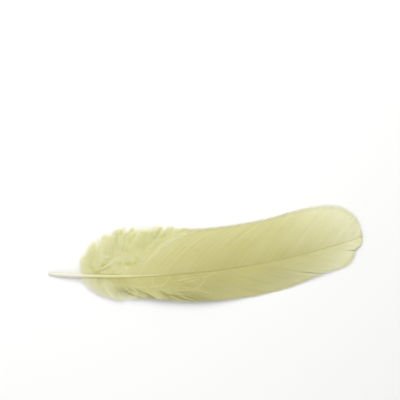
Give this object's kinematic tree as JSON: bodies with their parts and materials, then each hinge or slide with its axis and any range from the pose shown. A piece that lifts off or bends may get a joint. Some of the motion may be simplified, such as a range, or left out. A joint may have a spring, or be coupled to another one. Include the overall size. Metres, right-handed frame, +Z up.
{
  "type": "goose quill feather",
  "caption": "Goose feather lying flat: short bare quill, downy base, and a curved shaft between a narrow and a broad vane.",
  "frame": {"origin": "on the surface that the feather lies on, under the middle of its bounding box", "axes": "+X along the feather from the quill's end to its tip, +Y towards the broad vane, +Z up, which is the side of the feather that faced outwards on the bird"},
  "size_m": [0.178, 0.0489, 0.0094],
  "materials": {
    "feather": "soft satin feather, dyed pale yellow, with a glossier quill and shaft"
  },
  "bodies": {
    "root": {"feather": "feather"}
  },
  "joints": []
}
